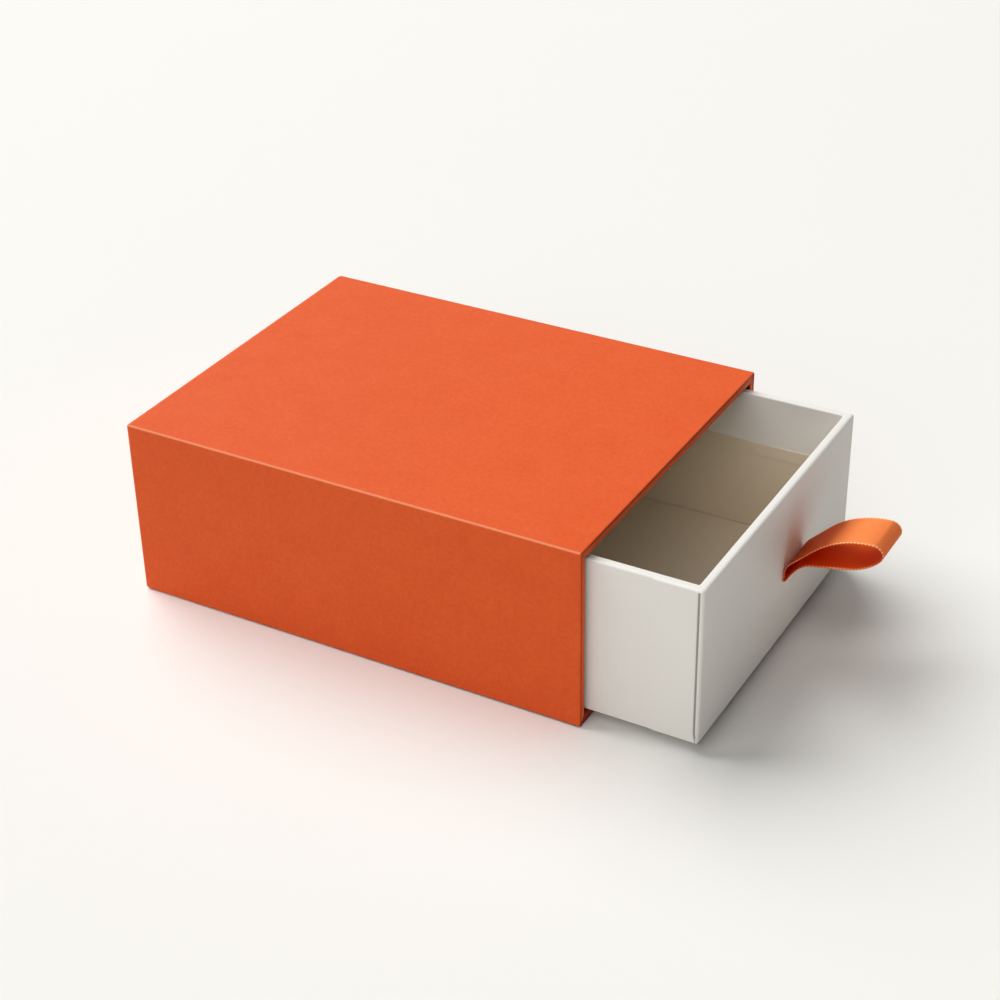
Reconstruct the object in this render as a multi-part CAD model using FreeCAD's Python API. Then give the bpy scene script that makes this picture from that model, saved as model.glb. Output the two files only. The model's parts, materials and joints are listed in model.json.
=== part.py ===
import FreeCAD, Part
import math
import os

# A rigid board gift box: a paper-covered sleeve, and a paper-covered drawer with a ribbon pull.
# Lengths are in millimetres. The origin is the middle of the sleeve's underside, +X is the way the
# drawer pulls out, +Y is the side that the ribbon is nearer to, and +Z is up.
# The drawer is modelled partly open, as it stands at rest.

# Sleeve
sleeve_length = 120.0
sleeve_width = 92.0
sleeve_height = 46.0
sleeve_board = 2.0          # greyboard thickness
sleeve_paper = 0.25         # covering paper with its glue
sleeve_cover_paper = 0.2    # sheets that hide the turned margins underneath and behind
sleeve_lining_paper = 0.2
sleeve_mouth_turn_in = 15.0     # covering paper folded into the mouth
sleeve_lining_setback = 3.0     # from the mouth to the edge of the lining
sleeve_turned_margin = 12.0     # covering paper folded onto the base and the back
sleeve_cover_inset = 1.5        # bare border round the sheets underneath and behind

# Drawer
drawer_pull = 27.0          # how far out the drawer stands
drawer_side_clearance = 0.4
drawer_top_clearance = 0.4
drawer_bottom_clearance = 0.2
drawer_back_clearance = 0.3
tray_board = 1.5
tray_paper = 0.25
tray_rim_turn_in = 16.0     # covering paper folded down inside the walls
tray_seam_setback = 1.05    # from the front face to the cut edge of the side flap
tray_tab_length = 10.0      # paper tab under each end of a side flap
tray_lap_ramp = 1.0         # length over which the side flap comes down off the tab
tray_lining_paper = 0.2
tray_lining_drop = 13.0     # from the rim to the edge of the wall lining
floor_card = 1.2
floor_card_clearance = 0.15
floor_card_round = 0.3

# Both
board_edge_round = 0.25     # crushed outer edges of the boards
stay_paper = 0.08           # tapes that hold the boards together
stay_leg = 8.0              # width of tape on each side of a joint
stay_gap = 1.0              # bare board between tapes, and past their ends
turned_edge_round_share = 0.8   # rounding of a folded-in edge, as a share of the paper

# Ribbon
ribbon_width = 12.0
ribbon_thickness = 0.3
ribbon_offset = 7.8         # ribbon's middle, from the drawer's middle plane
ribbon_slit_height_share = 0.42     # slit's middle, up the height of the drawer
ribbon_slit_side_gap = 0.4
ribbon_slit_gap = 0.15      # above and below the two layers in the slit
ribbon_layer_gap = 0.3      # between the two layers in the slit
ribbon_stub = 0.15          # how far the fixed ends show outside the front
ribbon_root_reach = 0.75    # from the front to the pinched root that the loop swings about
ribbon_root_rise = 0.4      # of that root above the middle of the slit
ribbon_patch_paper = 0.15
ribbon_patch_margin = 3.0
ribbon_tail_reach_share = 0.75  # of the height that is free for each tail behind the front

# The loop, from its lower layer at the root, round its tip and back over the top:
# the length of each bend as a share of the loop's size, and its turn in degrees.
ribbon_loop_size = 56.9
ribbon_root_heading = 64.0
ribbon_loop_length_shares = (0.0845, 0.053, 0.165, 0.1445, 0.0555, 0.034, 0.275)
ribbon_loop_turns = (-19.0, -33.0, 0.0, 37.0, 88.0, 44.0, 43.0)

cut_overrun = 1.0

X, Y, Z = range(3)


def block(low, high):
    size = [b - a for a, b in zip(low, high)]
    return Part.makeBox(size[X], size[Y], size[Z], FreeCAD.Vector(*low))


def grown(box, margin, axes=(X, Y, Z)):
    """The box with its walls moved out by the margin, or in where it is negative."""
    low, high = [list(corner) for corner in box]
    for axis in axes:
        low[axis] -= margin
        high[axis] += margin
    return tuple(low), tuple(high)


def spanned(box, axis, start, end):
    """The box with its extent along one axis replaced."""
    low, high = [list(corner) for corner in box]
    low[axis] = start
    high[axis] = end
    return tuple(low), tuple(high)


def rounded(box, radius):
    body = block(*box)
    return body.makeFillet(radius, body.Edges)


def ring(outer, wall, axis):
    """A tube along the axis: the outer box less the same box with its side walls moved in."""
    sides = [other for other in (X, Y, Z) if other != axis]
    inner = grown(grown(outer, -wall, sides), cut_overrun, [axis])
    return block(*outer).cut(block(*inner))


def fused(shapes):
    return shapes[0].multiFuse(list(shapes[1:])).removeSplitter()


def edges_on(shape, axis, level, outline):
    """Edges that lie in the plane at the level and on the outline of the box."""
    near = board_edge_round * turned_edge_round_share / 100
    found = []
    for edge in shape.Edges:
        ends = [vertex.Point for vertex in edge.Vertexes]
        flat = len(ends) == 2 and all(abs(point[axis] - level) < near for point in ends)
        if not flat:
            continue
        for side in (X, Y, Z):
            for wall in (outline[0][side], outline[1][side]):
                if side != axis and all(abs(point[side] - wall) < near for point in ends):
                    found.append(edge)
    return found


def edge_strip(box, along, start, end, sides, leg):
    """A bar of square section round one edge of the box, between two stations along it."""
    low, high = [list(corner) for corner in grown(box, cut_overrun)]
    low[along] = start
    high[along] = end
    for axis, side in sides:
        if side > 0:
            low[axis] = box[1][axis] - leg
        else:
            high[axis] = box[0][axis] + leg
    return block(low, high)


# Places in the sleeve
half_length = sleeve_length / 2
half_width = sleeve_width / 2
sleeve_cover = sleeve_cover_paper + sleeve_paper
sleeve_core = (
    (-half_length + sleeve_cover, -half_width + sleeve_paper, sleeve_cover),
    (half_length - sleeve_paper, half_width - sleeve_paper, sleeve_height - sleeve_paper),
)
sleeve_hollow = spanned(
    grown(sleeve_core, -sleeve_board), X, sleeve_core[0][X] + sleeve_board, sleeve_core[1][X]
)
sleeve_lining = sleeve_paper + sleeve_lining_paper
sleeve_clear = grown(sleeve_hollow, -sleeve_lining, (Y, Z))

# Places in the drawer
drawer_front = half_length + drawer_pull
drawer_back = sleeve_hollow[0][X] + sleeve_lining_paper + drawer_back_clearance + drawer_pull
drawer_half_width = sleeve_clear[1][Y] - drawer_side_clearance
drawer_bottom = sleeve_clear[0][Z] + drawer_bottom_clearance
drawer_top = sleeve_clear[1][Z] - drawer_top_clearance
tray_core = (
    (drawer_back + tray_paper, -drawer_half_width + 2 * tray_paper, drawer_bottom + tray_paper),
    (drawer_front - tray_paper, drawer_half_width - 2 * tray_paper, drawer_top - tray_paper),
)
tray_hollow = spanned(
    grown(tray_core, -tray_board), Z, tray_core[0][Z] + tray_board, tray_core[1][Z]
)
floor_top = tray_hollow[0][Z] + floor_card
turned_edge = drawer_top - tray_rim_turn_in
lining_top = drawer_top - tray_lining_drop

# Places of the ribbon
slit_middle = drawer_bottom + ribbon_slit_height_share * (drawer_top - drawer_bottom)
slit_half = ribbon_layer_gap / 2 + ribbon_thickness + ribbon_slit_gap
layer_level = (ribbon_layer_gap + ribbon_thickness) / 2
ribbon_low_y = ribbon_offset - ribbon_width / 2
ribbon_high_y = ribbon_offset + ribbon_width / 2
wall_inside = tray_hollow[1][X]
tail_depth = ribbon_slit_gap + ribbon_thickness
tail_low_end = slit_middle - ribbon_tail_reach_share * (slit_middle - floor_top)
tail_high_end = slit_middle + ribbon_tail_reach_share * (turned_edge - slit_middle)
tail_space = (
    (wall_inside - tail_depth, ribbon_low_y, tail_low_end),
    (wall_inside, ribbon_high_y, tail_high_end),
)
patch_margin = min(
    ribbon_patch_margin, (tail_low_end - floor_top) / 2, (turned_edge - tail_high_end) / 2
)
patch_space = spanned(
    grown(tail_space, patch_margin, (Y, Z)), X, tail_space[0][X] - ribbon_patch_paper, wall_inside
)
root_x = drawer_front + ribbon_root_reach
root_z = slit_middle + ribbon_root_rise


def slit():
    return block(
        (wall_inside - cut_overrun, ribbon_low_y - ribbon_slit_side_gap, slit_middle - slit_half),
        (drawer_front + cut_overrun, ribbon_high_y + ribbon_slit_side_gap, slit_middle + slit_half),
    )


# Sleeve pieces
def sleeve_boards():
    low, high = sleeve_core
    inside_low = low[Z] + sleeve_board
    inside_high = high[Z] - sleeve_board
    between = spanned(sleeve_core, Z, inside_low, inside_high)
    panels = {
        "sleeve_top_board": spanned(sleeve_core, Z, inside_high, high[Z]),
        "sleeve_bottom_board": spanned(sleeve_core, Z, low[Z], inside_low),
        "sleeve_left_board": spanned(between, Y, low[Y], low[Y] + sleeve_board),
        "sleeve_right_board": spanned(between, Y, high[Y] - sleeve_board, high[Y]),
        "sleeve_back_board": spanned(
            grown(between, -sleeve_board, [Y]), X, low[X], low[X] + sleeve_board
        ),
    }
    envelope = rounded(sleeve_core, board_edge_round)
    return {name: block(*panel).common(envelope) for name, panel in panels.items()}


def sleeve_stay_tapes():
    skin = rounded(grown(sleeve_core, stay_paper), board_edge_round + stay_paper)
    skin = skin.cut(rounded(sleeve_core, board_edge_round))
    low, high = sleeve_core
    clear = stay_leg + stay_gap
    strips = []
    for y_side in (-1, 1):
        for z_side in (-1, 1):
            sides = ((Y, y_side), (Z, z_side))
            strips.append(
                edge_strip(sleeve_core, X, low[X] + clear, high[X] - stay_gap, sides, stay_leg)
            )
    for z_side in (-1, 1):
        sides = ((X, -1), (Z, z_side))
        strips.append(edge_strip(sleeve_core, Y, low[Y] + clear, high[Y] - clear, sides, stay_leg))
    for y_side in (-1, 1):
        sides = ((X, -1), (Y, y_side))
        strips.append(edge_strip(sleeve_core, Z, low[Z] + clear, high[Z] - clear, sides, stay_leg))
    return Part.makeCompound([strip.common(skin) for strip in strips])


def sleeve_base_window():
    window = grown(sleeve_core, -sleeve_turned_margin, (X, Y))
    return spanned(window, Z, sleeve_cover_paper, sleeve_cover)


def sleeve_back_window():
    window = grown(sleeve_core, -sleeve_turned_margin, (Y, Z))
    return spanned(window, X, -half_length + sleeve_cover_paper, sleeve_core[0][X])


def sleeve_wrap(tapes):
    outside = rounded(grown(sleeve_core, sleeve_paper), board_edge_round + sleeve_paper)
    wrap = outside.cut(rounded(sleeve_core, board_edge_round))
    folded_in = spanned(sleeve_hollow, X, half_length - sleeve_mouth_turn_in, sleeve_core[1][X])
    mouth = grown(sleeve_hollow, -sleeve_paper, (Y, Z))
    mouth_hole = spanned(mouth, X, half_length - sleeve_mouth_turn_in, half_length + cut_overrun)
    wrap = wrap.cut([
        block(*mouth_hole),
        block(*grown(sleeve_base_window(), cut_overrun, [Z])).cut(block(*sleeve_core)),
        block(*grown(sleeve_back_window(), cut_overrun, [X])).cut(block(*sleeve_core)),
        tapes,
    ])
    wrap = fused([wrap, ring(folded_in, sleeve_paper, X)])
    lip = edges_on(wrap, X, half_length, mouth)
    return wrap.makeFillet(sleeve_paper * turned_edge_round_share, lip)


def sleeve_base_sheet(tapes):
    sheet = grown(sleeve_core, sleeve_paper - sleeve_cover_inset, (X, Y))
    sheet = spanned(sheet, Z, 0, sleeve_cover_paper)
    return fused([block(*sheet), block(*sleeve_base_window())]).cut(tapes)


def sleeve_back_sheet(tapes):
    sheet = grown(sleeve_core, sleeve_paper - sleeve_cover_inset, (Y, Z))
    sheet = spanned(sheet, X, -half_length, -half_length + sleeve_cover_paper)
    return fused([block(*sheet), block(*sleeve_back_window())]).cut(tapes)


def sleeve_liner():
    step = half_length - sleeve_mouth_turn_in
    rear = spanned(sleeve_hollow, X, sleeve_hollow[0][X], step)
    riser = spanned(sleeve_hollow, X, step - sleeve_lining_paper, step)
    front = spanned(
        grown(sleeve_hollow, -sleeve_paper, (Y, Z)), X, step, half_length - sleeve_lining_setback
    )
    panel = spanned(
        sleeve_hollow, X, sleeve_hollow[0][X], sleeve_hollow[0][X] + sleeve_lining_paper
    )
    return fused([
        ring(rear, sleeve_lining_paper, X),
        ring(riser, sleeve_lining, X),
        ring(front, sleeve_lining_paper, X),
        block(*panel),
    ])


# Drawer pieces
def tray_boards():
    low, high = tray_core
    standing = spanned(tray_core, Z, low[Z] + tray_board, high[Z])
    between = grown(standing, -tray_board, [X])
    panels = {
        "tray_floor_board": spanned(tray_core, Z, low[Z], low[Z] + tray_board),
        "tray_front_board": spanned(standing, X, high[X] - tray_board, high[X]),
        "tray_back_board": spanned(standing, X, low[X], low[X] + tray_board),
        "tray_left_board": spanned(between, Y, low[Y], low[Y] + tray_board),
        "tray_right_board": spanned(between, Y, high[Y] - tray_board, high[Y]),
    }
    envelope = rounded(tray_core, board_edge_round)
    boards = {name: block(*panel).common(envelope) for name, panel in panels.items()}
    boards["tray_front_board"] = boards["tray_front_board"].cut(slit())
    return boards


def tray_stay_tapes():
    skin = rounded(grown(tray_core, stay_paper), board_edge_round + stay_paper)
    skin = skin.cut(rounded(tray_core, board_edge_round))
    start = tray_core[0][Z] + stay_gap
    end = tray_core[1][Z] - stay_gap
    corners = [((X, x_side), (Y, y_side)) for x_side in (-1, 1) for y_side in (-1, 1)]
    strips = [edge_strip(tray_core, Z, start, end, sides, stay_leg) for sides in corners]
    return Part.makeCompound([strip.common(skin) for strip in strips])


def side_flap_lap(x_side, y_side):
    """The side flap where it lies over a corner tab, with its cut edge near the corner."""
    face = drawer_front if x_side > 0 else drawer_back
    seam = face - x_side * tray_seam_setback
    tab_end = seam - x_side * tray_tab_length
    ramp_end = tab_end - x_side * tray_lap_ramp
    inner = y_side * (drawer_half_width - tray_paper)
    outer = y_side * drawer_half_width
    outline = [(seam, inner), (seam, outer), (tab_end, outer), (ramp_end, inner)]
    points = [FreeCAD.Vector(x, y, tray_core[0][Z]) for x, y in outline]
    flap = Part.Face(Part.makePolygon(points + points[:1]))
    return flap.extrude(FreeCAD.Vector(0, 0, tray_core[1][Z] - tray_core[0][Z]))


def tray_wrap(tapes):
    outside = rounded(grown(tray_core, tray_paper), board_edge_round + tray_paper)
    wrap = outside.cut(rounded(tray_core, board_edge_round))
    folded_in = spanned(tray_hollow, Z, turned_edge, tray_core[1][Z])
    mouth = grown(tray_hollow, -tray_paper, (X, Y))
    opening = spanned(mouth, Z, turned_edge, drawer_top + cut_overrun)
    wrap = wrap.cut([block(*opening), tapes])
    laps = [side_flap_lap(x_side, y_side) for x_side in (-1, 1) for y_side in (-1, 1)]
    wrap = fused([wrap, ring(folded_in, tray_paper, Z)] + laps).cut(slit())
    rim = edges_on(wrap, Z, drawer_top, mouth)
    return wrap.makeFillet(tray_paper * turned_edge_round_share, rim)


def tray_wall_liner():
    lower = spanned(tray_hollow, Z, tray_hollow[0][Z], turned_edge)
    riser = spanned(tray_hollow, Z, turned_edge - tray_lining_paper, turned_edge)
    upper = spanned(grown(tray_hollow, -tray_paper, (X, Y)), Z, turned_edge, lining_top)
    over_patch = grown(patch_space, tray_lining_paper)
    over_patch = spanned(over_patch, X, over_patch[0][X], wall_inside)
    folded_in = spanned(tray_hollow, Z, turned_edge, tray_core[1][Z])
    band = fused([
        ring(lower, tray_lining_paper, Z),
        ring(riser, tray_paper + tray_lining_paper, Z),
        ring(upper, tray_lining_paper, Z),
        block(*over_patch),
    ])
    return band.cut([block(*patch_space), ring(folded_in, tray_paper, Z)])


def tray_floor_card():
    card = grown(tray_hollow, -tray_lining_paper - floor_card_clearance, (X, Y))
    card = spanned(card, Z, tray_hollow[0][Z], floor_top)
    body = block(*card)
    return body.makeFillet(floor_card_round, edges_on(body, Z, floor_top, card))


# Ribbon pieces. A strip follows a chain of arcs and straight runs, each tangent to the last.
def strip_section(start, heading, runs):
    """The side view of a strip, in the XZ plane: runs are pairs of length and turn in degrees."""
    half = ribbon_thickness / 2
    edges = {1: [], -1: []}
    x, z = start
    angle = math.radians(heading)
    ends = []

    def offset(px, pz, direction, side):
        step = side * half
        return FreeCAD.Vector(px - step * math.sin(direction), 0, pz + step * math.cos(direction))

    for length, turn in runs:
        bend = math.radians(turn)
        stations = [(x, z, angle)]
        for part in (0.5, 1.0):
            lean = bend * part / 2
            chord = length * part
            if turn:
                chord *= math.sin(lean) / lean
            far_x = x + chord * math.cos(angle + lean)
            far_z = z + chord * math.sin(angle + lean)
            stations.append((far_x, far_z, angle + 2 * lean))
        for side in (1, -1):
            first, middle, last = [offset(px, pz, direction, side) for px, pz, direction in stations]
            if turn == 0:
                edges[side].append(Part.makeLine(first, last))
            else:
                edges[side].append(Part.Arc(first, middle, last).toShape())
        ends.append((stations[0], stations[-1]))
        x, z, angle = stations[-1]
    caps = []
    for px, pz, direction in (ends[0][0], ends[-1][1]):
        caps.append(Part.makeLine(offset(px, pz, direction, 1), offset(px, pz, direction, -1)))
    wire = Part.Wire(Part.sortEdges(edges[1] + edges[-1] + caps)[0])
    return Part.Face(wire), (x, z, angle)


def ribbon_strip(start, heading, runs):
    face = strip_section(start, heading, runs)[0]
    face.translate(FreeCAD.Vector(0, ribbon_low_y, 0))
    return face.extrude(FreeCAD.Vector(0, ribbon_width, 0))


def ribbon_tails():
    """Each end runs in through the slit and bends round the slit's edge onto the board."""
    bend = ribbon_slit_gap + ribbon_thickness / 2
    straight = drawer_front + ribbon_stub - wall_inside
    tails = []
    for side, reach in ((-1, slit_middle - tail_low_end), (1, tail_high_end - slit_middle)):
        runs = (
            (straight, 0),
            (bend * math.pi / 2, -90 * side),
            (reach - slit_half, 0),
        )
        start = (drawer_front + ribbon_stub, slit_middle + side * layer_level)
        tails.append(ribbon_strip(start, 180, runs))
    return Part.makeCompound(tails)


def ribbon_patch():
    space = spanned(tail_space, X, tail_space[0][X], wall_inside + cut_overrun)
    return block(*patch_space).cut(block(*space))


def ribbon_loop():
    across = math.radians(ribbon_root_heading + 90)
    half_x = layer_level * math.cos(across)
    half_z = layer_level * math.sin(across)
    start = (root_x - half_x, root_z - half_z)
    runs = [
        (share * ribbon_loop_size, turn)
        for share, turn in zip(ribbon_loop_length_shares, ribbon_loop_turns)
    ]
    x, z, angle = strip_section(start, ribbon_root_heading, runs)[1]
    # The last bend comes back to the root, onto the upper layer's place.
    reach_x = root_x + half_x - x
    reach_z = root_z + half_z - z
    chord = math.hypot(reach_x, reach_z)
    lean = math.atan2(reach_z, reach_x) - angle
    turn = 2 * ((lean + math.pi) % (2 * math.pi) - math.pi)
    runs.append((chord * turn / 2 / math.sin(turn / 2), math.degrees(turn)))
    print("ribbon outside the front, mm:", round(sum(run[0] for run in runs), 1),
          "last bend:", round(runs[-1][0], 2), round(runs[-1][1], 1))
    return ribbon_strip(start, ribbon_root_heading, runs)


def build():
    sleeve_tapes = sleeve_stay_tapes()
    tray_tapes = tray_stay_tapes()
    nodes = sleeve_boards()
    nodes["sleeve_stay_tapes"] = sleeve_tapes
    nodes["sleeve_wrap"] = sleeve_wrap(sleeve_tapes)
    nodes["sleeve_base_sheet"] = sleeve_base_sheet(sleeve_tapes)
    nodes["sleeve_back_sheet"] = sleeve_back_sheet(sleeve_tapes)
    nodes["sleeve_liner"] = sleeve_liner()
    nodes.update(tray_boards())
    nodes["tray_stay_tapes"] = tray_tapes
    nodes["tray_wrap"] = tray_wrap(tray_tapes)
    nodes["tray_wall_liner"] = tray_wall_liner()
    nodes["tray_floor_card"] = tray_floor_card()
    nodes["ribbon_tails"] = ribbon_tails()
    nodes["ribbon_patch"] = ribbon_patch()
    nodes["ribbon_loop"] = ribbon_loop()
    return nodes


os.makedirs("parts", exist_ok=True)
for name, shape in build().items():
    shape.exportStep("parts/" + name + ".step")
    print(name, len(shape.Solids), "solids", round(shape.Volume, 1), "mm3, valid", shape.isValid())

print("ribbon swings about a line along Y at x, z:", round(root_x, 3), round(root_z, 3))
print("drawer front x:", drawer_front, "back x:", round(drawer_back, 3), "bottom, top z:",
      round(drawer_bottom, 3), round(drawer_top, 3), "half width:", round(drawer_half_width, 3))
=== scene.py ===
import json
import math

import bmesh
import bpy
from mathutils import Matrix, Quaternion, Vector
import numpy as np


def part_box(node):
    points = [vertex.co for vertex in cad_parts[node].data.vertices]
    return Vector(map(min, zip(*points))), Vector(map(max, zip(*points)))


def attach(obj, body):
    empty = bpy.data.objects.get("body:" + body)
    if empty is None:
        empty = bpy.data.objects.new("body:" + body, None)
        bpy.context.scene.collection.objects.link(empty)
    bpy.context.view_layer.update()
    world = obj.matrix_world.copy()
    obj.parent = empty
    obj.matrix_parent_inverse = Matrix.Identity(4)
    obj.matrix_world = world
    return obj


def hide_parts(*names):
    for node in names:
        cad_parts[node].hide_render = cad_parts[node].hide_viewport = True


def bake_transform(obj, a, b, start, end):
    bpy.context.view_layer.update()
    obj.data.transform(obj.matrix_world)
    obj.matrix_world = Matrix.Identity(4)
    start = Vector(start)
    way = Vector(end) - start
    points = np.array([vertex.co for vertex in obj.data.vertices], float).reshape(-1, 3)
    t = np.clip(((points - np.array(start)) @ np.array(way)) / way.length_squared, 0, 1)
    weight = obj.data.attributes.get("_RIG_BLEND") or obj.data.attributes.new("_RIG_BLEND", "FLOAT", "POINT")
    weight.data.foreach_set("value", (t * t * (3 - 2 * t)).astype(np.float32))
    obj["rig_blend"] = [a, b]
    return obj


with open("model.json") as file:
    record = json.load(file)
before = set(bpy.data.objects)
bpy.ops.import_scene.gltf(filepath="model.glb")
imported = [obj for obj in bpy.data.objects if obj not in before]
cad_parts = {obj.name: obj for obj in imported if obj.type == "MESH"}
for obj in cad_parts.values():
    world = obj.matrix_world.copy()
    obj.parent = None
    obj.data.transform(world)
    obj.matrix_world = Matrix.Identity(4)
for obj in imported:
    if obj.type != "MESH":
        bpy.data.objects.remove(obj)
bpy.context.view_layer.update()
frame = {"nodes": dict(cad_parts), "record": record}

# A paper-covered board sleeve with a paper-covered drawer and a satin ribbon pull.
# Sizes in the dictionaries are millimetres, and the meshes are metres.
mm = 0.001
near = 0.01 * mm       # places closer than this count as the same
noiseLow, noiseHigh = 0.3, 0.7      # a noise is rarely past these


# Materials

def linearColour(hexText):
    channels = [int(hexText[i:i + 2], 16) / 255 for i in (1, 3, 5)]
    linear = [c / 12.92 if c <= 0.04045 else ((c + 0.055) / 1.055) ** 2.4 for c in channels]
    return (*linear, 1.0)


def addNode(material, kind, settings=None, values=None, links=None):
    node = material.node_tree.nodes.new(kind)
    for name, value in (settings or {}).items():
        setattr(node, name, value)
    for name, value in (values or {}).items():
        node.inputs[name].default_value = value
    for name, socket in (links or {}).items():
        material.node_tree.links.new(socket, node.inputs[name])
    return node


def startMaterial(name):
    material = bpy.data.materials.new(name)
    material.use_nodes = True
    material.node_tree.nodes.clear()
    return material


def coveringPaper(name, look):
    # Matt cover paper, calendered: soft diffuse colour, a dull sheen and a fine eggshell grain.
    # A positive "fold" paints a highlight along rounded folds, partly also wear of the paper, and a negative
    # one paints shade into creases, the seam's groove and the shadowed lower edge of the mouth.
    material = startMaterial(name)
    place = addNode(material, "ShaderNodeTexCoord").outputs["Object"]
    grain = addNode(material, "ShaderNodeTexNoise",
                    values={"Scale": 1 / (look["grainSize"] * mm), "Detail": 3.0},
                    links={"Vector": place})
    cloud = addNode(material, "ShaderNodeTexNoise",
                    values={"Scale": 1 / (look["cloudSize"] * mm), "Detail": 4.0},
                    links={"Vector": place})
    clouded = addNode(material, "ShaderNodeMix", {"data_type": "RGBA"},
                      {6: linearColour(look["colour"]), 7: linearColour(look["cloudColour"])},
                      {0: cloud.outputs["Fac"]})
    speck = addNode(material, "ShaderNodeMapRange",
                    values={"From Min": noiseLow, "From Max": noiseHigh,
                            "To Max": look["grainShade"]},
                    links={"Value": grain.outputs["Fac"]})
    speckled = addNode(material, "ShaderNodeMix", {"data_type": "RGBA"},
                       {7: linearColour(look["grainColour"])},
                       {0: speck.outputs["Result"], 6: clouded.outputs[2]})
    # The "fold" attribute carries painted light: positive for a highlight, negative for shade
    fold = addNode(material, "ShaderNodeAttribute", {"attribute_name": "fold"}).outputs["Fac"]
    # Painted highlight: the paper is mixed lighter where "fold" is positive
    paintedLight = addNode(material, "ShaderNodeMapRange", values={"To Max": look["foldHighlightShare"]},
                   links={"Value": fold})
    # Painted shade: the paper is mixed darker where "fold" is negative
    paintedShade = addNode(material, "ShaderNodeMapRange",
                      values={"From Max": -1.0, "To Max": look["paintedShadeAmount"]},
                      links={"Value": fold})
    lighter = addNode(material, "ShaderNodeMix", {"data_type": "RGBA"},
                      {7: linearColour(look["foldHighlightColour"])},
                      {0: paintedLight.outputs["Result"], 6: speckled.outputs[2]})
    coloured = addNode(material, "ShaderNodeMix", {"data_type": "RGBA"},
                       {7: linearColour(look["paintedShadeColour"])},
                       {0: paintedShade.outputs["Result"], 6: lighter.outputs[2]})
    dull = addNode(material, "ShaderNodeMapRange",
                   values={"To Min": look["roughness"] - look["roughnessSpread"],
                           "To Max": look["roughness"] + look["roughnessSpread"]},
                   links={"Value": cloud.outputs["Fac"]})
    wave = addNode(material, "ShaderNodeBump",
                   values={"Strength": look["waveStrength"], "Distance": look["waveDepth"] * mm},
                   links={"Height": cloud.outputs["Fac"]})
    bump = addNode(material, "ShaderNodeBump",
                   values={"Strength": look["grainStrength"], "Distance": look["grainDepth"] * mm},
                   links={"Height": grain.outputs["Fac"], "Normal": wave.outputs["Normal"]})
    shader = addNode(material, "ShaderNodeBsdfPrincipled",
                     values={"IOR": look["ior"], "Specular IOR Level": look["specular"]},
                     links={"Base Color": coloured.outputs[2], "Roughness": dull.outputs["Result"],
                            "Normal": bump.outputs["Normal"]})
    addNode(material, "ShaderNodeOutputMaterial", links={"Surface": shader.outputs["BSDF"]})
    return material


orangePaperLook = {
    "colour": "#E96126",
    "cloudColour": "#E25820",
    "cloudSize": 8.0,
    "grainColour": "#C94214",
    "grainShade": 0.32,
    "grainSize": 0.8,           # the real grain is finer than the picture shows
    "grainStrength": 0.35,
    "grainDepth": 0.04,
    "waveStrength": 0.2,
    "waveDepth": 0.12,
    # painted highlight along the upper folds
    "foldHighlightColour": "#FFB487",
    "foldHighlightShare": 0.55,
    # painted shade in the creases and on the mouth's shadowed lower edge
    "paintedShadeColour": "#6E1400",
    "paintedShadeAmount": 0.85,
    "roughness": 0.55,
    "roughnessSpread": 0.05,
    "ior": 1.46,                # cellulose and size
    "specular": 0.2,
}

whitePaperLook = {
    "colour": "#F1EEE8",
    "cloudColour": "#ECE9E2",
    "cloudSize": 16.0,
    "grainColour": "#DDD9D0",
    "grainShade": 0.12,
    "grainSize": 0.4,
    "grainStrength": 0.25,
    "grainDepth": 0.02,
    "waveStrength": 0.2,
    "waveDepth": 0.2,
    # painted highlight along the drawer's lower fold and rim
    "foldHighlightColour": "#FFFEFA",
    "foldHighlightShare": 0.9,
    # painted shade in the seam's groove
    "paintedShadeColour": "#8C857A",
    "paintedShadeAmount": 0.8,
    "roughness": 0.55,
    "roughnessSpread": 0.05,
    "ior": 1.46,
    "specular": 0.35,
}

# Uncoated lining paper: creamier and duller than the cover paper
liningPaperLook = dict(whitePaperLook, colour="#E8DAC4", cloudColour="#E2D2BA",
                       grainColour="#C6B699", roughness=0.7, specular=0.25)

# The same orange paper, cut as flat sheets, so without the painted highlight along folds
baseSheetLook = dict(orangePaperLook, foldHighlightShare=0.0)

# Recycled greyboard, rolled: grey and brown fibre, speckled, rough and dull
greyboardLook = dict(whitePaperLook, colour="#8F8A80", cloudColour="#86817A", cloudSize=5.0,
                     grainColour="#5F5B54", grainShade=0.6, grainSize=0.6, grainStrength=0.6,
                     grainDepth=0.05, foldHighlightShare=0.0, roughness=0.85, specular=0.2)

# Gummed kraft tape: pale brown, fibrous, without sheen
tapeLook = dict(whitePaperLook, colour="#D9C8A4", cloudColour="#D2C09A", grainColour="#B9A67F",
                grainShade=0.4, foldHighlightShare=0.0, roughness=0.6)

orangePaper = coveringPaper("orange_cover_paper_matt", orangePaperLook)
orangeSheet = coveringPaper("orange_base_paper_matt", baseSheetLook)
whitePaper = coveringPaper("white_cover_paper_matt", whitePaperLook)
liningPaper = coveringPaper("lining_paper_uncoated", liningPaperLook)
greyboard = coveringPaper("greyboard_recycled_fibre", greyboardLook)
gummedTape = coveringPaper("gummed_stay_tape", tapeLook)
print("papers ready")


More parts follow.
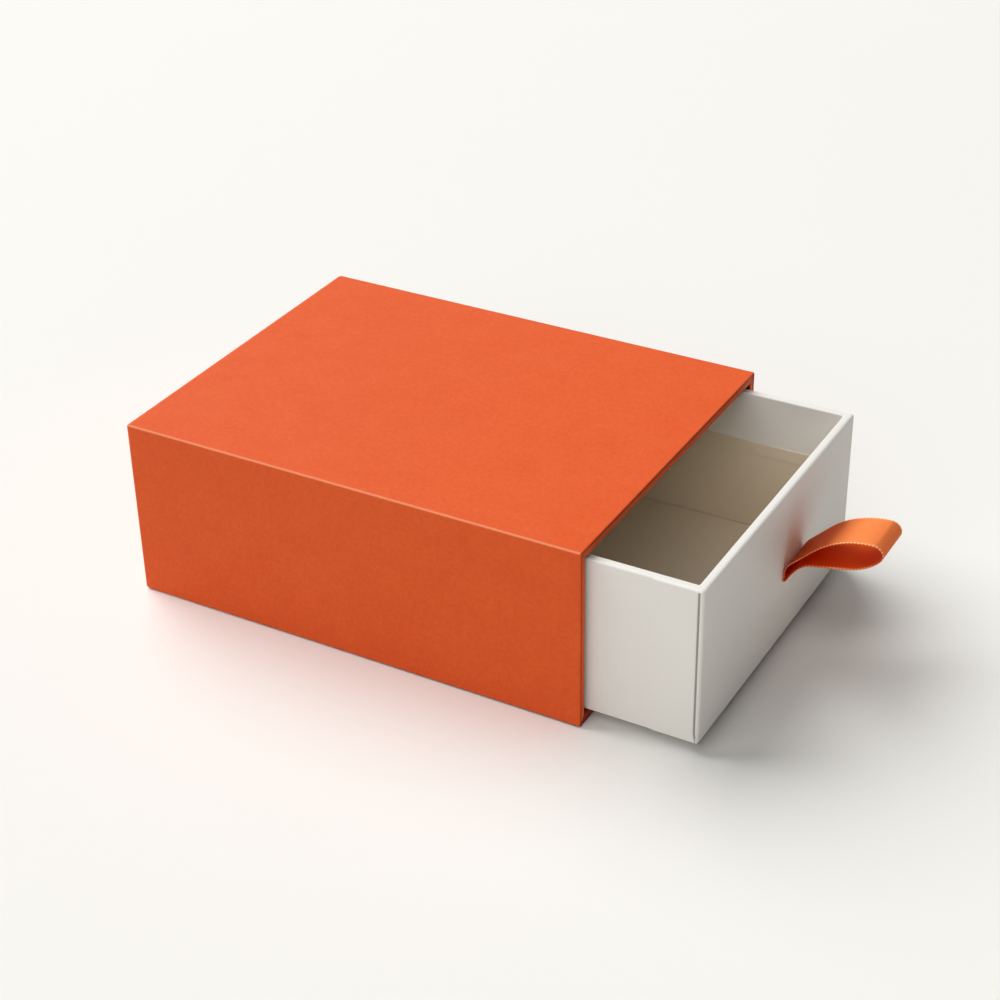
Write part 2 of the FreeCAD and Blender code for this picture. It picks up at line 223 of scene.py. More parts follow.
def satinWeave(look):
    # Polyester satin ribbon, woven: the long warp floats throw back light in the dye's own
    # colour, as a bright silky band across the ribbon, so part of the gloss is coloured like a
    # metal's. The weft shows as fine ribs, with painted shade between them, and as a beaded
    # edge, whose beads get a painted highlight; light glows through.
    material = startMaterial("satin_ribbon_orange_polyester")
    onRibbon = addNode(material, "ShaderNodeUVMap", {"uv_map": "ribbonLength"}).outputs["UV"]
    split = addNode(material, "ShaderNodeSeparateXYZ", links={"Vector": onRibbon})
    turns = addNode(material, "ShaderNodeMath", {"operation": "MULTIPLY"},
                    {1: 2 * math.pi / (look["ribPitch"] * mm)}, {0: split.outputs["X"]})
    ribs = addNode(material, "ShaderNodeMath", {"operation": "SINE"},
                   links={0: turns.outputs["Value"]})
    yarnPlace = addNode(material, "ShaderNodeMapping",
                        values={"Scale": (1 / (look["floatLength"] * mm),
                                          1 / (look["yarnWidth"] * mm), 1.0)},
                        links={"Vector": onRibbon})
    yarns = addNode(material, "ShaderNodeTexNoise", values={"Scale": 1.0, "Detail": 2.0},
                    links={"Vector": yarnPlace.outputs["Vector"]})
    # Painted shade: the troughs between the ribs are mixed towards the deep colour
    ribShade = addNode(material, "ShaderNodeMapRange",
                       values={"From Min": -1.0, "From Max": 1.0,
                               "To Min": look["ribShade"], "To Max": 0.0},
                       links={"Value": ribs.outputs["Value"]})
    yarnShade = addNode(material, "ShaderNodeMapRange",
                        values={"From Min": look["yarnLow"], "From Max": look["yarnHigh"],
                                "To Min": 0.0, "To Max": look["yarnShade"]},
                        links={"Value": yarns.outputs["Fac"]})
    shade = addNode(material, "ShaderNodeMath", {"operation": "ADD"},
                    links={0: ribShade.outputs["Result"], 1: yarnShade.outputs["Result"]})
    woven = addNode(material, "ShaderNodeMix", {"data_type": "RGBA"},
                    {6: linearColour(look["colour"]), 7: linearColour(look["deepColour"])},
                    {0: shade.outputs["Value"]})
    shiny = addNode(material, "ShaderNodeAttribute", {"attribute_name": "shinySide"})
    faced = addNode(material, "ShaderNodeMix", {"data_type": "RGBA"},
                    {6: linearColour(look["backColour"])},
                    {0: shiny.outputs["Fac"], 7: woven.outputs[2]})
    fromMiddle = addNode(material, "ShaderNodeMath", {"operation": "SUBTRACT"},
                         {1: look["width"] / 2 * mm}, {0: split.outputs["Y"]})
    outward = addNode(material, "ShaderNodeMath", {"operation": "ABSOLUTE"},
                      links={0: fromMiddle.outputs["Value"]})
    atEdge = addNode(material, "ShaderNodeMapRange",
                     values={"From Min": (look["width"] / 2 - look["edgeWidth"]) * mm,
                             "From Max": (look["width"] / 2 - look["edgeWidth"] / 2) * mm},
                     links={"Value": outward.outputs["Value"]})
    beadTurns = addNode(material, "ShaderNodeMath", {"operation": "MULTIPLY"},
                        {1: 2 * math.pi / (look["beadPitch"] * mm)}, {0: split.outputs["X"]})
    beads = addNode(material, "ShaderNodeMath", {"operation": "COSINE"},
                    links={0: beadTurns.outputs["Value"]})
    # Painted highlight on each bead of the edge
    beadShade = addNode(material, "ShaderNodeMapRange",
                        values={"From Min": look["beadSoftness"],
                                "From Max": -look["beadSoftness"]},
                        links={"Value": beads.outputs["Value"]})
    edged = addNode(material, "ShaderNodeMath", {"operation": "MULTIPLY"},
                    links={0: beadShade.outputs["Result"], 1: atEdge.outputs["Result"]})
    coloured = addNode(material, "ShaderNodeMix", {"data_type": "RGBA"},
                       {7: linearColour(look["beadHighlightColour"])},
                       {0: edged.outputs["Value"], 6: faced.outputs[2]})
    ribBump = addNode(material, "ShaderNodeBump",
                      values={"Strength": look["ribStrength"], "Distance": look["ribDepth"] * mm},
                      links={"Height": ribs.outputs["Value"]})
    tangent = addNode(material, "ShaderNodeTangent",
                      {"direction_type": "UV_MAP", "uv_map": "ribbonLength"})
    shader = addNode(material, "ShaderNodeBsdfPrincipled",
                     values={"Metallic": look["colouredGloss"], "Roughness": look["roughness"],
                             "IOR": look["ior"], "Specular IOR Level": look["specular"],
                             "Anisotropic": look["anisotropy"],
                             "Anisotropic Rotation": look["glossTurn"]},
                     links={"Base Color": coloured.outputs[2], "Normal": ribBump.outputs["Normal"],
                            "Tangent": tangent.outputs["Tangent"]})
    glow = addNode(material, "ShaderNodeBsdfTranslucent",
                   values={"Color": linearColour(look["glowColour"])})
    both = addNode(material, "ShaderNodeMixShader", values={0: look["glow"]},
                   links={1: shader.outputs["BSDF"], 2: glow.outputs["BSDF"]})
    addNode(material, "ShaderNodeOutputMaterial", links={"Surface": both.outputs["Shader"]})
    return material


satinLook = {
    "colour": "#F6A45E",
    # darker tone: painted shade in the rib troughs, and the yarns' random tone
    "deepColour": "#B44A06",
    "backColour": "#E0661C",    # single-faced: the side within the loop is duller
    "ribPitch": 0.4,            # the real weft is twice as fine, too fine to show in the picture
    # share of painted shade in the rib troughs
    "ribShade": 0.6,
    "ribStrength": 0.4,
    "ribDepth": 0.04,
    "floatLength": 2.0,
    "yarnWidth": 0.12,
    "yarnShade": 0.2,
    "yarnLow": 0.35,            # a narrower range shows the yarns more sharply
    "yarnHigh": 0.65,
    "width": 12.0,
    "edgeWidth": 0.6,
    "beadPitch": 0.85,
    "beadSoftness": 0.6,
    # painted highlight colour of the beads
    "beadHighlightColour": "#FFC890",
    "colouredGloss": 0.9,
    "glow": 0.45,
    "glowColour": "#F07008",
    "roughness": 0.45,
    "ior": 1.5,
    "specular": 0.6,
    "anisotropy": 0.9,
    "glossTurn": 0.25,          # of a whole turn, so the bright band lies across the ribbon
}

satinRibbon = satinWeave(satinLook)


# Shaping

def finishPiece(bm, name, material, nodes):
    mesh = bpy.data.meshes.new(name)
    bmesh.ops.recalc_face_normals(bm, faces=bm.faces)
    for face in bm.faces:
        face.smooth = True
    bm.to_mesh(mesh)
    bm.free()
    mesh.materials.append(material)
    piece = bpy.data.objects.new(name, mesh)
    bpy.context.scene.collection.objects.link(piece)
    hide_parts(*nodes)
    return piece


def flattenFaces(piece):
    # Big flat faces keep their own normals, and the small round ones blend into them.
    weighted = piece.modifiers.new("flat_faces", "WEIGHTED_NORMAL")
    weighted.mode = "FACE_AREA"
    weighted.weight = 100


def addRing(bm, low, high, ring, level, segments):
    # One rounded rectangle, drawn flat
    _, inset, radius, fold = ring
    corners = bmesh.ops.create_grid(bm, x_segments=1, y_segments=1, size=0.5)["verts"]
    width = high[0] - low[0] - 2 * inset
    depth = high[1] - low[1] - 2 * inset
    bmesh.ops.scale(bm, vec=(width, depth, 1), verts=corners)
    middle = ((low[0] + high[0]) / 2, (low[1] + high[1]) / 2, level)
    bmesh.ops.translate(bm, vec=middle, verts=corners)
    rounded = bmesh.ops.bevel(bm, geom=corners, offset=radius, offset_type="OFFSET",
                              segments=segments, profile=0.5, affect="VERTICES", material=-1)
    face = rounded["verts"][0].link_faces[0]
    verts, edges = list(face.verts), list(face.edges)
    for vert in verts:
        # each ring's painted light: a highlight when positive, shade when negative
        vert[bm.verts.layers.float["fold"]] = fold
    bmesh.ops.delete(bm, geom=[face], context="FACES_ONLY")
    return verts, edges


def loftRings(turn, low, high, rings, segments):
    # The rings are bridged one above the other, and each is then moved to its own station.
    bm = bmesh.new()
    bm.verts.layers.float.new("fold")
    apart = 10 * mm
    made = [addRing(bm, low, high, ring, i * apart, segments) for i, ring in enumerate(rings)]
    for one, other in zip(made, made[1:]):
        bmesh.ops.bridge_loops(bm, edges=one[1] + other[1])
    for end in (made[0], made[-1]):
        bmesh.ops.contextual_create(bm, geom=end[1])
    for i, ring in enumerate(rings):
        bmesh.ops.translate(bm, vec=(0, 0, ring[0] - i * apart), verts=made[i][0])
    bmesh.ops.transform(bm, matrix=turn, verts=bm.verts)
    return bm


def quarterTurn(steps):
    # Sine and cosine round a quarter turn, from the face to the wall beside it.
    angles = [math.pi / 2 * (1 - i / steps) for i in range(steps + 1)]
    return [(math.sin(a), math.cos(a)) for a in angles]


# Sleeve cover: one sheet round the boards, folded into the mouth

sleeveCoverSizes = {
    "foldRadius": 0.5,
    "backFoldRadius": 0.8,
    "mouthEdgeRadius": 0.25,
    "mouthFoldRadius": 0.3,
    "cornerRadius": 0.35,       # of the pinched paper at the mouth's corners
    "turnIn": 15.0,
    "paper": 0.2,
    "pressDepth": 0.16,         # of the line pressed in along the board's edge
    "pressWidth": 0.5,
    "pressStart": 0.4,          # as shares of that width
    "pressEnd": 1.6,
    "pressRise": 0.6,           # share of the depth that the paper rises by its end
    "pressFade": 0.6,           # painted shade left at its inner side
    "sideFold": 0.6,            # how far the folds at the sides of the mouth run back
    "mitreDepth": 0.15,         # of the crease across each corner of the mouth
    "foldSteps": 4,
}


def sleeveCover(sizes):
    low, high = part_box("sleeve_wrap")
    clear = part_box("sleeve_liner")[1].z + sizes["paper"] * mm       # inner face of the boards
    wall = high.z - clear + sizes["paper"] * mm
    fold = sizes["foldRadius"] * mm
    backFold = sizes["backFoldRadius"] * mm
    edge = sizes["mouthEdgeRadius"] * mm
    lip = sizes["mouthFoldRadius"] * mm
    pinch = sizes["cornerRadius"] * mm
    press = sizes["pressWidth"] * mm
    faceX = high.x - sizes["pressDepth"] * mm
    rings = []
    for sine, cosine in quarterTurn(sizes["foldSteps"]):
        rings.append((low.x + backFold * (1 - sine), backFold * (1 - cosine), fold, 0.0))
    for sine, cosine in reversed(quarterTurn(sizes["foldSteps"])):
        inset = edge * (1 - cosine)
        rings.append((high.x - edge * (1 - sine), inset, max(fold - inset, pinch), 0.0))
    # The pressed line dips in, and its rings also carry painted shade, darkest under the edge
    rings += [
        (faceX, edge + press * sizes["pressStart"], pinch, -1.0),
        (faceX, edge + press, pinch, -sizes["pressFade"]),
        (faceX + (high.x - faceX) * sizes["pressRise"], edge + press * sizes["pressEnd"],
         pinch, 0.0),
    ]
    for sine, cosine in quarterTurn(sizes["foldSteps"]):
        rings.append((high.x - lip * (1 - sine), wall - lip * (1 - cosine), pinch, 0.0))
    paper = sizes["paper"] * mm
    foldedIn = high.x - sizes["turnIn"] * mm
    rings += [
        (foldedIn, wall, pinch, 0.0),
        (foldedIn, wall - paper, pinch, 0.0),
        (high.x - paper, wall - paper, pinch, 0.0),
        (high.x - paper, paper, pinch, 0.0),
        (low.x + paper, paper, pinch, 0.0),
    ]
    alongX = Matrix(((0, 0, 1, 0), (1, 0, 0, 0), (0, 1, 0, 0), (0, 0, 0, 1)))
    bm = loftRings(alongX, (low.y, low.z), (high.y, high.z), rings, sizes["foldSteps"])

    # The turned-in sides meet on a mitre at each corner of the mouth. A highlight is painted
    # along the upper folds, and painted shade into the mitres and the mouth's lower edge.
    paintedLight = bm.verts.layers.float["fold"]
    for vert in bm.verts:
        fromSide = min(vert.co.y - low.y, high.y - vert.co.y)
        fromEnd = min(vert.co.z - low.z, high.z - vert.co.z)
        nearMouth = 1 - (high.x - vert.co.x) / edge
        if nearMouth > -1 and vert.co.z - low.z < wall and fromEnd < fromSide:
            vert[paintedLight] = -1.0       # painted shadow on the lower edge of the mouth, under the drawer
        atFold = -0.01 < nearMouth < 0.99
        if atFold and fromSide < min(edge + near, fromEnd - near):
            vert.co.x = high.x - (high.x - vert.co.x) * sizes["sideFold"] * mm / edge
            nearMouth = 0
        # painted shade in each mitre's crease, over its real dip
        if abs(fromSide - fromEnd) < near and nearMouth > 0.01:
            vert.co.x -= sizes["mitreDepth"] * mm * nearMouth
            vert[paintedLight] = -nearMouth
        # painted highlight along the upper long folds
        elif max(fromSide, fromEnd) < fold and vert.co.z > high.z - fold:
            across, down = fold - fromSide, fold - fromEnd
            vert[paintedLight] = 2 * across * down / (across ** 2 + down ** 2 + 1e-12)
    cover = finishPiece(bm, "sleeve_cover", orangePaper, ["sleeve_wrap"])
    flattenFaces(cover)
    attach(cover, "sleeve")


sleeveCover(sleeveCoverSizes)
print("sleeve covered")


# Tray cover: one white sheet, its side flaps lapped over tabs at the corners

trayCoverSizes = {
    "paper": 0.25,
    "backing": 0.2,             # from the shown face to the glued face
    "wall": 2.0,
    "cornerRadius": 0.7,
    "bottomRadius": 0.5,
    "rimRadius": 0.55,
    "rimInnerRadius": 0.35,
    "rimLip": 0.1,              # the fold at the rim stands out past the front panel
    "rimLipHeight": 0.3,
    "turnIn": 16.0,
    "seamSetback": 1.05,
    "seamWidth": 0.48,
    "seamDepth": 0.4,
    "seamShoulder": 1.25,       # outer width of the groove, as a share of its floor
    "seamFootGap": 0.2,         # bare paper below the groove
    "seamRimGap": 0.7,
    "seamCurveHeight": 2.8,     # over which the flap's edge curves in to the bottom corner
    "seamCurve": 0.7,
    "seamCurveReach": 1.3,      # width of the strip that curves, as a share of the groove's floor
    "tabLength": 10.0,
    "rampLength": 1.0,
    "lapDepth": 1.0,            # from the outside, over which the flap pushes the paper out
    "slitSideGap": 0.4,
    "foldSteps": 4,
}


def cutAcross(bm, axis, places, geom=None):
    for place in places:
        point = Vector((0, 0, 0))
        normal = Vector((0, 0, 0))
        point[axis] = place
        normal[axis] = 1
        bmesh.ops.bisect_plane(bm, geom=geom or bm.verts[:] + bm.edges[:] + bm.faces[:],
                               dist=1e-7, plane_co=point, plane_no=normal)


def facesAt(bm, x, low, high):
    # Flat faces across X there that reach into the region
    found = []
    for face in bm.faces:
        places = [v.co for v in face.verts]
        flat = all(abs(place.x - x) < 1e-6 for place in places)
        across = all(min(p[axis] for p in places) < high[axis] - 1e-7
                     and max(p[axis] for p in places) > low[axis] + 1e-7 for axis in (1, 2))
        if flat and across:
            found.append(face)
    return found


def trayCover(sizes):
    low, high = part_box("tray_wrap")
    paper = sizes["paper"] * mm
    wall = sizes["wall"] * mm
    corner = sizes["cornerRadius"] * mm
    bottom = sizes["bottomRadius"] * mm
    rim = sizes["rimRadius"] * mm
    inner = sizes["rimInnerRadius"] * mm
    steps = sizes["foldSteps"]
    rings = []
    # Painted highlight along the drawer's lower fold and its rim, as the rings' fold values
    for sine, cosine in quarterTurn(steps):
        rings.append((low.z + bottom * (1 - sine), bottom * (1 - cosine), corner, sine * cosine * 2))
    for sine, cosine in reversed(quarterTurn(steps)):
        rings.append((high.z - rim * (1 - sine), rim * (1 - cosine), corner, sine * cosine))
    for sine, cosine in quarterTurn(steps):
        rings.append((high.z - inner * (1 - sine), wall - inner * (1 - cosine), inner, 0.0))
    back = sizes["backing"] * mm
    foldedIn = high.z - sizes["turnIn"] * mm
    rings += [
        (foldedIn, wall, inner, 0.0),
        (foldedIn, wall - back, inner, 0.0),
        (high.z - back, wall - back, inner, 0.0),
        (high.z - back, back, corner, 0.0),
        (low.z + back, back, corner, 0.0),
    ]
    single = (low.x, low.y + paper), (high.x, high.y - paper)
    bm = loftRings(Matrix.Identity(4), *single, rings, steps)

    # Each side flap lies over a tab from the end panels, which thickens the wall by one paper.
    seam = sizes["seamSetback"] * mm
    half = sizes["seamWidth"] * mm / 2
    tab = seam + sizes["tabLength"] * mm
    ramp = tab + sizes["rampLength"] * mm
    shoulder = half * sizes["seamShoulder"]
    fromFace = [ramp, tab, seam + shoulder, seam + half, seam - half, seam - shoulder]
    cutAcross(bm, 0, [high.x - gap for gap in fromFace] + [low.x + gap for gap in fromFace])
    curve = sizes["seamCurveHeight"] * mm
    cutAcross(bm, 2, [low.z + bottom + curve * i / 4 for i in range(1, 5)])
    rimGap = sizes["seamRimGap"] * mm
    cutAcross(bm, 2, [high.z - rimGap, high.z - rimGap * 0.8])
    seamTop = high.z - rimGap * 0.9
    lap = sizes["lapDepth"] * mm
    reach = half * sizes["seamCurveReach"]
    grooveShade = bm.verts.layers.float["fold"]
    middle = (low.x + high.x) / 2
    for vert in bm.verts:
        x, y, z = vert.co
        gap = min(high.x - x, x - low.x)
        outward = (abs(y) - (high.y - paper - lap)) / lap
        if gap > tab + near or outward <= 0:
            continue
        push = paper * min(outward, 1)
        inGroove = seam - half - near < gap < seam + half + near
        if inGroove and low.z + sizes["seamFootGap"] * mm < z < seamTop:
            push -= sizes["seamDepth"] * mm
            # painted shade in the seam's groove
            vert[grooveShade] = -1.0
        vert.co.y += push * math.copysign(1, y)
        beside = seam - reach < gap < seam + reach
        down = (low.z + bottom + curve - z) / (bottom + curve)
        if beside and down > 0:
            vert.co.x += math.copysign(sizes["seamCurve"] * mm * down ** 2, x - middle)

    # The rim's fold overhangs the end panels a little.
    for vert in bm.verts:
        atEnd = min(high.x - vert.co.x, vert.co.x - low.x) < corner
        height = high.z - vert.co.z
        if atEnd and rim * 0.2 < height < rim + sizes["rimLipHeight"] * mm:
            vert.co.x += math.copysign(sizes["rimLip"] * mm, vert.co.x - middle)

    # Slit for the ribbon, cut through the front panel's paper only
    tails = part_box("ribbon_tails")
    slitLow = Vector((0, tails[0].y - sizes["slitSideGap"] * mm, slitMiddle - slitHalf))
    slitHigh = Vector((0, tails[1].y + sizes["slitSideGap"] * mm, slitMiddle + slitHalf))
    rims = []
    for face in (high.x, high.x - back):
        for axis in (1, 2):
            for place in (slitLow[axis], slitHigh[axis]):
                panel = facesAt(bm, face, slitLow, slitHigh)
                geom = {*panel, *(e for f in panel for e in f.edges),
                        *(v for f in panel for v in f.verts)}
                cutAcross(bm, axis, [place], list(geom))
        hole = [f for f in facesAt(bm, face, slitLow, slitHigh)
                if slitLow.y < f.calc_center_bounds().y < slitHigh.y
                and slitLow.z < f.calc_center_bounds().z < slitHigh.z]
        rims += list({e for f in hole for e in f.edges})
        bmesh.ops.delete(bm, geom=hole, context="FACES_ONLY")
    bmesh.ops.bridge_loops(bm, edges=rims)

    cover = finishPiece(bm, "tray_cover", whitePaper, ["tray_wrap"])
    flattenFaces(cover)
    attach(cover, "drawer")


tailLow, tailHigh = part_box("ribbon_tails")
swing = next(joint for joint in frame["record"]["behaviour"]["joints"]
             if joint["name"] == "ribbon_swing")
swingPoint = Vector(swing["pos_m"])

ribbonSizes = {
    "thickness": 0.26,
    "layer": 0.3,               # room that each layer takes in the slit
    "layerGap": 0.3,
    "slitGap": 0.15,
    "rootRise": 0.4,            # of the swing line above the middle of the slit
    "rootHeading": 64.0,
    "loopSize": 56.9,
    "loopShares": (0.0845, 0.053, 0.165, 0.1445, 0.0555, 0.034, 0.275),
    "loopTurns": (-19.0, -33.0, 0.0, 37.0, 88.0, 44.0, 43.0),
    "lastRuns": ((6.8, 0.5), (3.62, 45.5)),     # down to the panel
    "blendGap": 0.1,            # from the front panel to where it starts to swing
    "swingBlend": 2.0,          # over which it goes from the drawer's motion to the loop's
    "rowPitch": 0.35,
    "rowTurn": 0.2,             # most that it bends between two rows, in radians
    "columns": 24,
    "beadSize": (0.5, 0.42, 0.38),
    "beadInset": 0.6,           # of its middle from the edge, in half widths
}
slitMiddle = swingPoint.z - ribbonSizes["rootRise"] * mm
slitHalf = (ribbonSizes["layerGap"] / 2 + ribbonSizes["layer"] + ribbonSizes["slitGap"]) * mm

trayCover(trayCoverSizes)
print("tray covered")


# Ribbon: both ends glued behind the front panel, out through the slit and round the loop

def ribbonPull(sizes):
    layer = (sizes["layerGap"] + sizes["layer"]) / 2 * mm
    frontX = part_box("tray_wrap")[1].x
    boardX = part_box("tray_front_board")[0].x
    stubX = tailHigh.x
    bend = (sizes["slitGap"] + sizes["layer"] / 2) * mm
    loopSize = sizes["loopSize"] * mm
    heading = math.radians(sizes["rootHeading"])
    rootOff = Vector((-math.sin(heading), 0, math.cos(heading))) * layer
    lowerRoot = swingPoint - rootOff
    # Runs of the path in side view: length and turn, from the lower end to the upper end.
    runs = [
        (slitMiddle - layer - bend - tailLow.z, 0.0),
        (bend * math.pi / 2, -90.0),
        (stubX - boardX, 0.0),
    ]
    reach = math.hypot(lowerRoot.x - stubX, lowerRoot.z - slitMiddle + layer)
    runs.append((reach * heading / 2 / math.sin(heading / 2), sizes["rootHeading"]))
    runs += [(share * loopSize, turn)
             for share, turn in zip(sizes["loopShares"], sizes["loopTurns"])]
    runs += [(length * mm, turn) for length, turn in sizes["lastRuns"]]
    total = sum(length for length, _ in runs)
    panelX, panelZ, heading = centreLine(runs, total, (boardX - bend, tailLow.z))
    print("ribbon reaches the panel at", round(panelX * 1000, 2), round(panelZ * 1000, 2),
          "heading", round(math.degrees(heading), 2))
    runs += [
        (panelZ - slitMiddle - layer - bend, 0.0),
        (bend * math.pi / 2, -90.0),
        (panelX - bend - boardX, 0.0),
        (bend * math.pi / 2, -90.0),
        (tailHigh.z - slitMiddle - layer - bend, 0.0),
    ]

    bm = bmesh.new()
    columns = sizes["columns"]
    pitch = satinLook["width"] * mm / columns
    start = bmesh.ops.create_vert(bm, co=(boardX - bend, tailLow.y, tailLow.z))["vert"]
    bmesh.ops.spin(bm, geom=start, angle=0, steps=columns, dvec=(0, pitch, 0), axis=(0, 1, 0))
    place = Vector((boardX - bend, 0, tailLow.z))
    angle = math.radians(90)
    row = bm.verts[:] + bm.edges[:]
    rows = [(0.0, angle)]
    for length, turn in runs:
        turn = math.radians(turn)
        steps = max(2, round(length / (sizes["rowPitch"] * mm)),
                    round(abs(turn) / sizes["rowTurn"]))
        along = Vector((math.cos(angle), 0, math.sin(angle)))
        if abs(turn) < 1e-6:
            made = bmesh.ops.spin(bm, geom=row, angle=0, steps=steps, axis=(0, 1, 0),
                                  dvec=along * length / steps)
            place += along * length
        else:
            radius = length / turn
            centre = place + Vector((-math.sin(angle), 0, math.cos(angle))) * radius
            made = bmesh.ops.spin(bm, geom=row, cent=centre, axis=(0, 1, 0), angle=-turn,
                                  steps=steps)
            place = centre + Matrix.Rotation(-turn, 3, "Y") @ (place - centre)
        row = made["geom_last"]
        for i in range(1, steps + 1):
            rows.append((rows[-1][0] + length / steps, angle + turn * i / steps))
        angle += turn
    print("ribbon ends at", [round(c * 1000, 2) for c in place], "rows", len(rows))
    total = rows[-1][0]

    # UV in metres: along the ribbon, and across it
    bm.verts.index_update()
    perRow = columns + 1
    uv = bm.loops.layers.uv.new("ribbonLength")
    for face in bm.faces:
        for loop in face.loops:
            vertRow, _ = divmod(loop.vert.index, perRow)
            loop[uv].uv = (rows[vertRow][0], loop.vert.co.y - tailLow.y)
    normals = {}
    for vert in bm.verts:
        along, angle = rows[vert.index // perRow]
        normals[vert] = Vector((-math.sin(angle), 0, math.cos(angle)))
    thickness = sizes["thickness"] * mm
    for vert, normal in normals.items():
        vert.co += normal * thickness / 2
    bmesh.ops.recalc_face_normals(bm, faces=bm.faces)
    flip = bm.faces[0].normal.dot(normals[bm.faces[0].verts[0]]) < 0
    shiny = bm.verts.layers.float.new("shinySide")
    within = len(bm.verts)
    bmesh.ops.solidify(bm, geom=bm.faces[:], thickness=-thickness if flip else thickness)
    for i, vert in enumerate(bm.verts):
        vert[shiny] = float(i >= within)

    addBeads(bm, sizes, rows, runs, (boardX - bend, tailLow.z))
    piece = finishPiece(bm, "ribbon_pull", satinRibbon, ["ribbon_loop", "ribbon_tails"])
    start = Vector((frontX + sizes["blendGap"] * mm, swingPoint.y, slitMiddle))
    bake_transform(piece, "drawer", "pull", start=start,
             end=start + Vector((sizes["swingBlend"] * mm, 0, 0)))
    return total


def addBeads(bm, sizes, rows, runs, start):
    # Beaded selvedge: the weft turns back round a cord at each edge.
    beads = bmesh.new()
    uv = beads.loops.layers.uv.new("ribbonLength")
    bead = Vector(sizes["beadSize"]) * mm / 2
    total = rows[-1][0]
    pitch = satinLook["beadPitch"] * mm
    for i in range(int(total / pitch)):
        along = (i + 0.5) * pitch
        x, z, angle = centreLine(runs, along, start)
        inset = bead.y * sizes["beadInset"]
        for edge in (tailLow.y + inset, tailHigh.y - inset):
            turned = Matrix.Translation((x, edge, z)) @ Matrix.Rotation(-angle, 4, "Y")
            made = bmesh.ops.create_uvsphere(
                beads, u_segments=6, v_segments=5, radius=1,
                matrix=turned @ Matrix.Diagonal((*bead, 1)))["verts"]
            for loop in {loop for vert in made for loop in vert.link_loops}:
                loop[uv].uv = (along, edge - tailLow.y)
    mesh = bpy.data.meshes.new("beads")
    beads.to_mesh(mesh)
    beads.free()
    bm.from_mesh(mesh)
    bpy.data.meshes.remove(mesh)


def centreLine(runs, along, start):
    # Where the ribbon's middle line is in side view, so far along it
    x, z = start
    angle = math.radians(90)
    left = along
    for length, turn in runs:
        turn = math.radians(turn)
        part = min(left / length, 1)
        lean = turn * part / 2
        chord = length * part * (math.sin(lean) / lean if abs(lean) > 1e-9 else 1)
        x += chord * math.cos(angle + lean)
        z += chord * math.sin(angle + lean)
        angle += turn * part
        left -= length * part
        if left <= 1e-9:
            break
    return x, z, angle


print("ribbon length", round(ribbonPull(ribbonSizes) * 1000, 1), "mm")


# Pieces kept as they are, with their own papers and boards

def paint(node, material):
    piece = frame["nodes"][node]
    piece.data.materials.clear()
    piece.data.materials.append(material)


for node in frame["nodes"]:
    if node.endswith("_board"):
        paint(node, greyboard)
for node in ("sleeve_stay_tapes", "tray_stay_tapes"):
    paint(node, gummedTape)
for node in ("sleeve_base_sheet", "sleeve_back_sheet"):
    paint(node, orangeSheet)
for node in ("sleeve_liner", "tray_wall_liner", "tray_floor_card", "ribbon_patch"):
    paint(node, liningPaper)
print("boards and linings finished")


# Floor, light and camera

def stageFloor(look):
    material = startMaterial("pale_studio_floor")
    place = addNode(material, "ShaderNodeTexCoord").outputs["Object"]
    cloud = addNode(material, "ShaderNodeTexNoise",
                    values={"Scale": 1 / (look["cloudSize"] * mm), "Detail": 2.0},
                    links={"Vector": place})
    coloured = addNode(material, "ShaderNodeMix", {"data_type": "RGBA"},
                       {6: linearColour(look["colour"]), 7: linearColour(look["cloudColour"])},
                       {0: cloud.outputs["Fac"]})
    shader = addNode(material, "ShaderNodeBsdfPrincipled",
                     values={"Roughness": look["roughness"],
                             "Specular IOR Level": look["specular"]},
                     links={"Base Color": coloured.outputs[2]})
    addNode(material, "ShaderNodeOutputMaterial", links={"Surface": shader.outputs["BSDF"]})
    bm = bmesh.new()
    bmesh.ops.create_grid(bm, x_segments=1, y_segments=1, size=look["halfSize"] * mm)
    mesh = bpy.data.meshes.new("studio_floor")
    bm.to_mesh(mesh)
    bm.free()
    mesh.materials.append(material)
    floor = bpy.data.objects.new("studio_floor", mesh)
    bpy.context.scene.collection.objects.link(floor)


def addSoftbox(name, settings):
    # azimuth is where the light comes from, turned from +X towards +Y
    lamp = bpy.data.lights.new(name, "AREA")
    lamp.shape = "DISK"
    distance = settings["distance"] * mm
    lamp.size = 2 * distance * math.tan(math.radians(settings["spread"] / 2))
    lamp.energy = settings["strength"] * math.pi * (distance ** 2 + (lamp.size / 2) ** 2)
    lamp.color = linearColour(settings["colour"])[:3]
    box = bpy.data.objects.new(name, lamp)
    turn, lift = math.radians(settings["azimuth"]), math.radians(settings["elevation"])
    towards = Vector((math.cos(turn) * math.cos(lift), math.sin(turn) * math.cos(lift),
                      math.sin(lift)))
    box.location = towards * distance
    box.rotation_mode = "QUATERNION"
    box.rotation_quaternion = towards.to_track_quat("Z", "Y")
    bpy.context.scene.collection.objects.link(box)


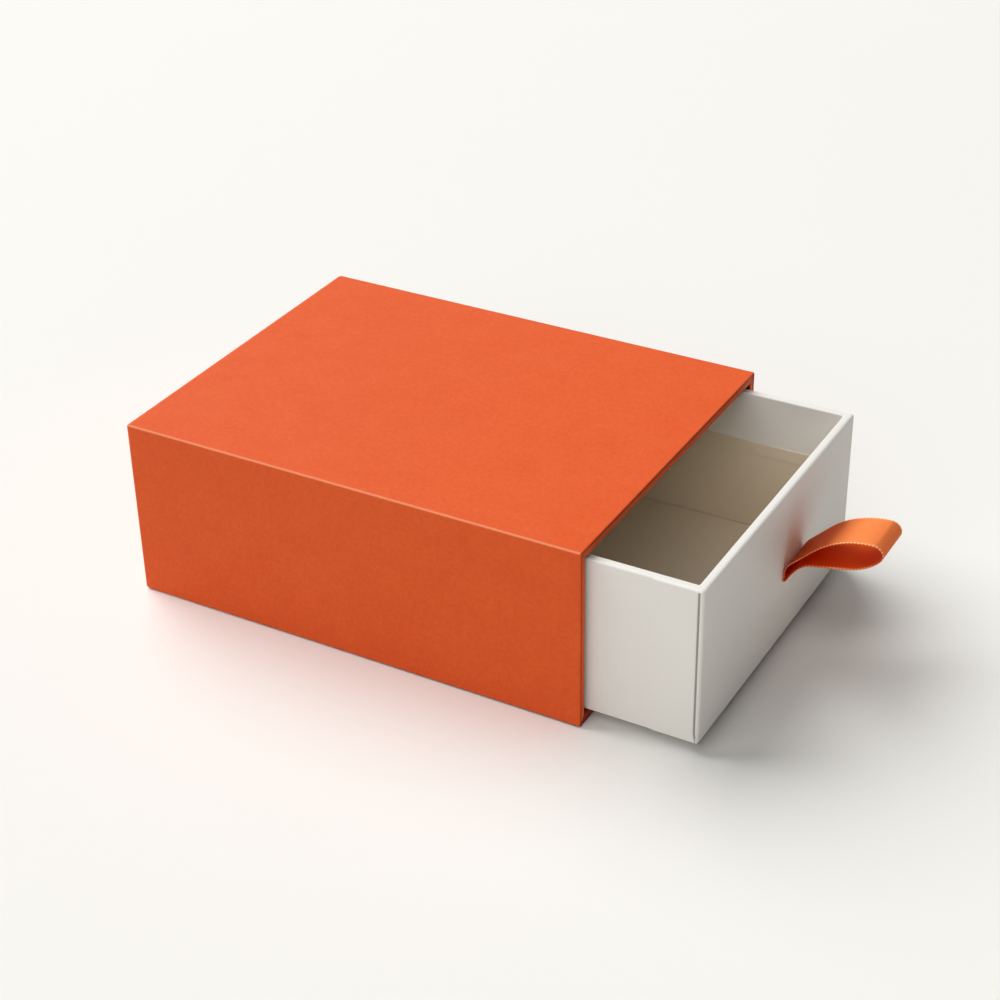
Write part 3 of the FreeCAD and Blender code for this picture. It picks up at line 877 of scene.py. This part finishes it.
def setWorld(look):
    world = bpy.data.worlds.new("studio_world")
    bpy.context.scene.world = world
    world.use_nodes = True
    world.node_tree.nodes.clear()
    seen = addNode(world, "ShaderNodeLightPath")
    behind = addNode(world, "ShaderNodeMath", {"operation": "MAXIMUM"},
                     links={0: seen.outputs["Is Camera Ray"], 1: seen.outputs["Is Glossy Ray"]})
    shown = addNode(world, "ShaderNodeMath", {"operation": "MAXIMUM"},
                    links={0: behind.outputs["Value"], 1: seen.outputs["Is Transmission Ray"]})
    light = addNode(world, "ShaderNodeBackground",
                    values={"Color": linearColour(look["colour"]), "Strength": look["strength"]})
    backdrop = addNode(world, "ShaderNodeBackground",
                       values={"Color": linearColour(look["backdrop"]), "Strength": 1.0})
    both = addNode(world, "ShaderNodeMixShader",
                   links={0: shown.outputs["Value"], 1: light.outputs["Background"],
                          2: backdrop.outputs["Background"]})
    addNode(world, "ShaderNodeOutputWorld", links={"Surface": both.outputs["Shader"]})


def setCamera(settings):
    camera = bpy.data.objects.new("camera", bpy.data.cameras.new("camera"))
    camera.data.lens = settings["lens"]
    camera.data.sensor_width = settings["sensor"]
    camera.location = Vector(settings["place"]) * mm
    view = Vector(settings["aim"]) * mm - camera.location
    camera.rotation_mode = "QUATERNION"
    roll = Quaternion((0, 0, 1), math.radians(settings["roll"]))
    camera.rotation_quaternion = view.to_track_quat("-Z", "Y") @ roll
    camera.data.clip_start = settings["nearest"] * mm
    camera.data.clip_end = settings["furthest"] * mm
    bpy.context.scene.collection.objects.link(camera)
    bpy.context.scene.camera = camera


floorLook = {"colour": "#F6F5F1", "cloudColour": "#F4F3EE", "cloudSize": 400.0,
             "halfSize": 6000.0, "roughness": 0.9, "specular": 0.1}
keyLight = {"strength": 3.03, "spread": 55.0, "azimuth": 167.0, "elevation": 50.0,
            "distance": 9000.0, "colour": "#FFFFFF"}
fillLight = {"strength": 1.13, "spread": 60.0, "azimuth": 276.0, "elevation": 45.0,
             "distance": 9000.0, "colour": "#FFFFFF"}
worldLook = {"strength": 0.03, "colour": "#FFFFFF", "backdrop": "#FAFAF8"}
cameraSettings = {"lens": 75.489, "sensor": 36.0, "place": (228.85, -375.39, 284.89),
                  "aim": (15.66, -2.11, 23.0), "roll": -1.066,
                  "nearest": 10.0, "furthest": 50000.0}

stageFloor(floorLook)
addSoftbox("window_light", keyLight)
addSoftbox("bounce_light", fillLight)
setWorld(worldLook)
setCamera(cameraSettings)
bpy.context.scene.view_settings.view_transform = "Standard"
print("stage set")
